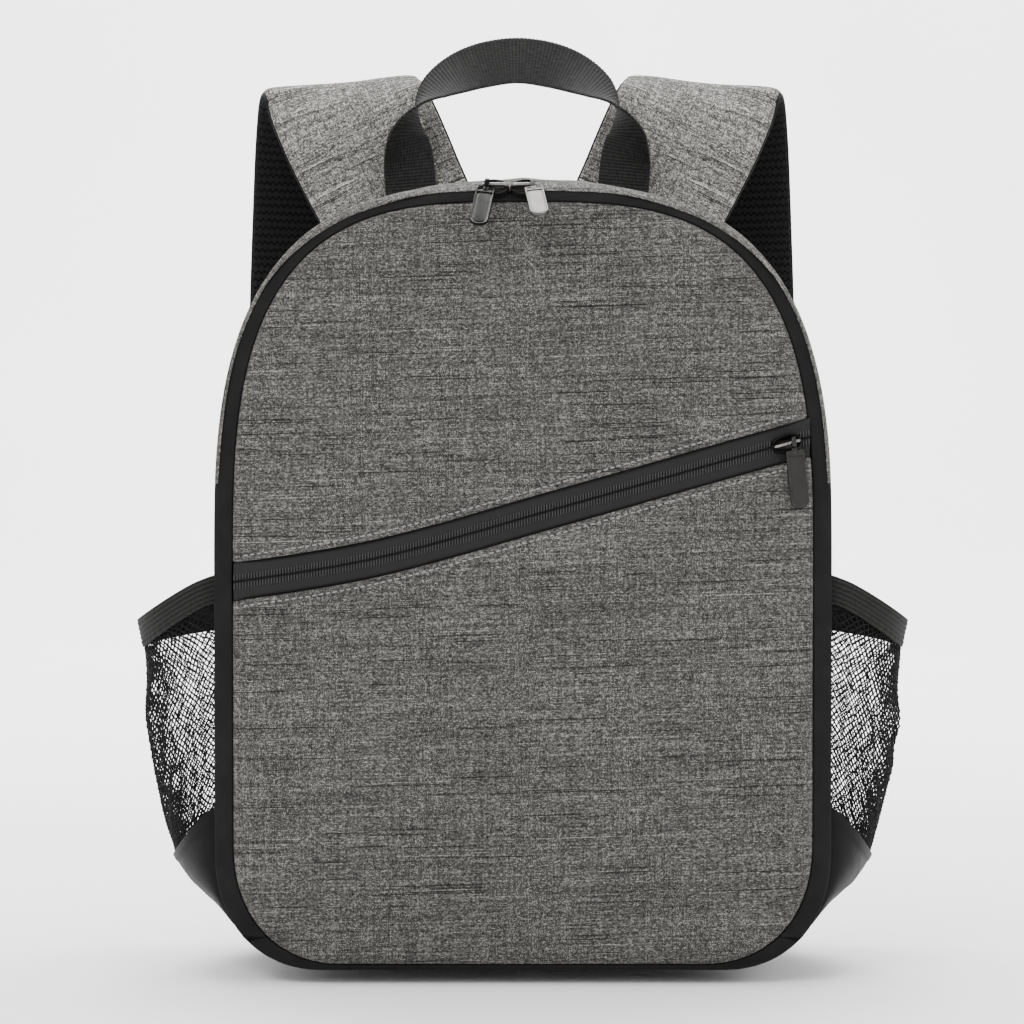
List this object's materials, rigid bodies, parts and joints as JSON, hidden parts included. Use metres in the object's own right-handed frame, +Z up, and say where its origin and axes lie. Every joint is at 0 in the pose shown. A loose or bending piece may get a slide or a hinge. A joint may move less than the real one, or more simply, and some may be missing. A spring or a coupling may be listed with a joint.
{
  "type": "camera backpack",
  "caption": "Upright padded backpack with a domed zip front, a slanted front pocket zip, net side pockets, a webbing handle and two padded shoulder straps.",
  "frame": {"origin": "centre of the flat base that stands on the floor, midway between the front cloth and the back panel", "axes": "+Z up, -Y out of the front, +X to the right of someone who looks at the front"},
  "size_m": [0.3648, 0.221, 0.4388],
  "materials": {
    "grey_cloth": "grey melange plain weave, padded",
    "strap_cloth": "grey melange plain weave, padded",
    "black_tape": "woven zip tape over a reversed coil",
    "black_webbing": "ribbed woven webbing",
    "air_mesh": "black spacer mesh over foam",
    "black_nylon": "plain coated nylon",
    "black_elastic": "ribbed elastic binding",
    "black_net": "knotless open net",
    "black_plastic": "moulded, fine texture",
    "gunmetal": "dark plated, polished"
  },
  "bodies": {
    "bag": {"front_upper": "grey_cloth", "front_pocket": "grey_cloth", "side_wall": "grey_cloth", "pocket_zip": "black_tape", "main_zip": "black_tape", "front_binding": "black_tape", "base_panel": "black_nylon", "back_panel": "air_mesh", "handle": "black_webbing", "left_strap_face": "strap_cloth", "left_strap_lining": "air_mesh", "left_strap_tab": "black_webbing", "left_buckle": "black_plastic", "left_strap_webbing": "black_webbing", "left_strap_anchor": "black_nylon", "left_pocket_elastic": "black_elastic", "left_pocket_net": "black_net", "left_pocket_bottom": "black_nylon", "right_strap_face": "strap_cloth", "right_strap_lining": "air_mesh", "right_strap_tab": "black_webbing", "right_buckle": "black_plastic", "right_strap_webbing": "black_webbing", "right_strap_anchor": "black_nylon", "right_pocket_elastic": "black_elastic", "right_pocket_net": "black_net", "right_pocket_bottom": "black_nylon", "main_left_slider": "gunmetal", "main_right_slider": "gunmetal", "pocket_slider": "gunmetal"},
    "left_tab": {"main_left_pull": "gunmetal"},
    "right_tab": {"main_right_pull": "gunmetal"},
    "pocket_tab": {"pocket_pull": "gunmetal"}
  },
  "joints": [
    {"name": "left_pull_lift", "type": "hinge", "parent": "bag", "child": "left_tab", "pos_m": [-0.0164, -0.06294, 0.36009], "axis": [-1, 0, 0], "range_deg": [0, 110]},
    {"name": "right_pull_lift", "type": "hinge", "parent": "bag", "child": "right_tab", "pos_m": [0.0044, -0.06294, 0.36009], "axis": [-1, 0, 0], "range_deg": [0, 100]},
    {"name": "pocket_pull_lift", "type": "hinge", "parent": "bag", "child": "pocket_tab", "pos_m": [0.12298, -0.0681, 0.24294], "axis": [-0.9639, 0, -0.2661], "range_deg": [0, 150]}
  ]
}
